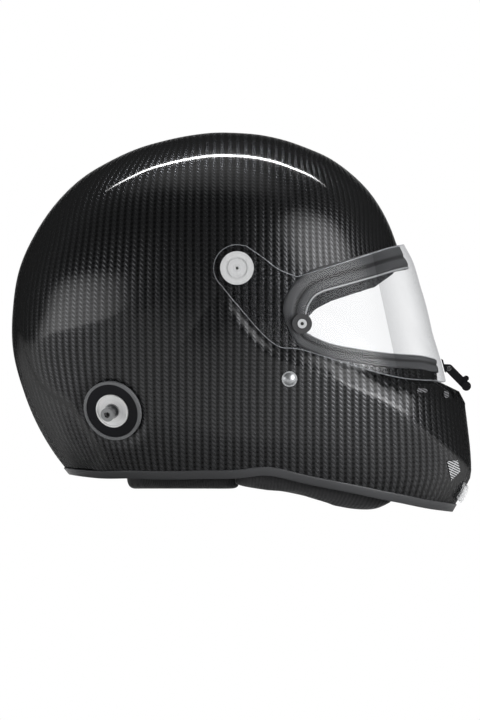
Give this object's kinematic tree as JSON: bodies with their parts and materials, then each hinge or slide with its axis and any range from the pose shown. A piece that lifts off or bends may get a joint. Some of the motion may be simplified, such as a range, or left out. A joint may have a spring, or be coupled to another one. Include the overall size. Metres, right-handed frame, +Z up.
{
  "type": "auto racing helmet",
  "caption": "Full-face auto racing helmet with carbon shell, hinged clear visor, head restraint posts, rubber trims, padded lining and chin strap.",
  "frame": {"origin": "middle of the bounding box, at the height of the lowest point of the base", "axes": "+X forward, out of the face; +Y to the wearer's left; +Z up"},
  "size_m": [0.349, 0.2558, 0.289],
  "materials": {
    "composite_shell": "clear-coated twill carbon composite",
    "base_rubber": "satin moulded rubber",
    "seal_rubber": "soft satin rubber",
    "clear_screen": "clear hard-coated polycarbonate",
    "turned_aluminium": "turned and brushed",
    "polished_steel": "polished",
    "plain_steel": "plain zinc plated",
    "insert_brass": "machined",
    "black_plastic": "moulded, matt",
    "anodised_black": "black anodised aluminium",
    "gasket_grey": "matt rubber",
    "webbing": "woven aramid webbing",
    "vent_mesh": "fine woven wire",
    "clear_lip": "clear moulded plastic",
    "liner_foam": "expanded foam",
    "lining_fabric": "flame resistant knit over foam",
    "pad_fabric": "ribbed flame resistant knit over foam"
  },
  "bodies": {
    "helmet": {"outer_shell": "composite_shell", "base_trim": "base_rubber", "port_seal": "seal_rubber", "pivot_screw_right": "turned_aluminium", "pivot_screw_left": "turned_aluminium", "pivot_washer_right": "black_plastic", "pivot_washer_left": "black_plastic", "pivot_insert_right": "insert_brass", "pivot_insert_left": "insert_brass", "latch_catch": "black_plastic", "anchor_gasket_right": "gasket_grey", "anchor_gasket_left": "gasket_grey", "anchor_plate_right": "anodised_black", "anchor_plate_left": "anodised_black", "anchor_dish_right": "turned_aluminium", "anchor_dish_left": "turned_aluminium", "anchor_post_right": "turned_aluminium", "anchor_post_left": "turned_aluminium", "anchor_nut_right": "plain_steel", "anchor_nut_left": "plain_steel", "strap_rivet_right": "polished_steel", "strap_rivet_left": "polished_steel", "strap_plate_right": "plain_steel", "strap_plate_left": "plain_steel", "chin_strap_right": "webbing", "chin_strap_left": "webbing", "d_ring_lower": "polished_steel", "d_ring_upper": "polished_steel", "chin_mesh_right": "vent_mesh", "chin_mesh_left": "vent_mesh", "ledge_mesh_rear_right": "vent_mesh", "ledge_mesh_rear_left": "vent_mesh", "ledge_mesh_front_right": "vent_mesh", "ledge_mesh_front_left": "vent_mesh", "chin_lip": "clear_lip", "crown_liner": "liner_foam", "chin_liner": "liner_foam", "comfort_lining": "lining_fabric", "cheek_pad_right": "pad_fabric", "cheek_pad_left": "pad_fabric", "neck_roll": "pad_fabric"},
    "visor": {"visor": "clear_screen", "tearoff_post_right": "black_plastic", "tearoff_post_left": "black_plastic", "tearoff_screw_right": "polished_steel", "tearoff_screw_left": "polished_steel", "latch_bracket": "black_plastic", "latch_pin": "plain_steel"},
    "latch_lever": {"latch_lever": "black_plastic"}
  },
  "joints": [
    {"name": "visor_hinge", "type": "hinge", "parent": "helmet", "child": "visor", "pos_m": [-0.00357, 0, 0.18587], "axis": [0, -1, 0], "range_deg": [0, 50]},
    {"name": "latch_hinge", "type": "hinge", "parent": "visor", "child": "latch_lever", "pos_m": [0.15778, 0, 0.1094], "axis": [0, -1, 0], "range_deg": [0, 40]}
  ]
}
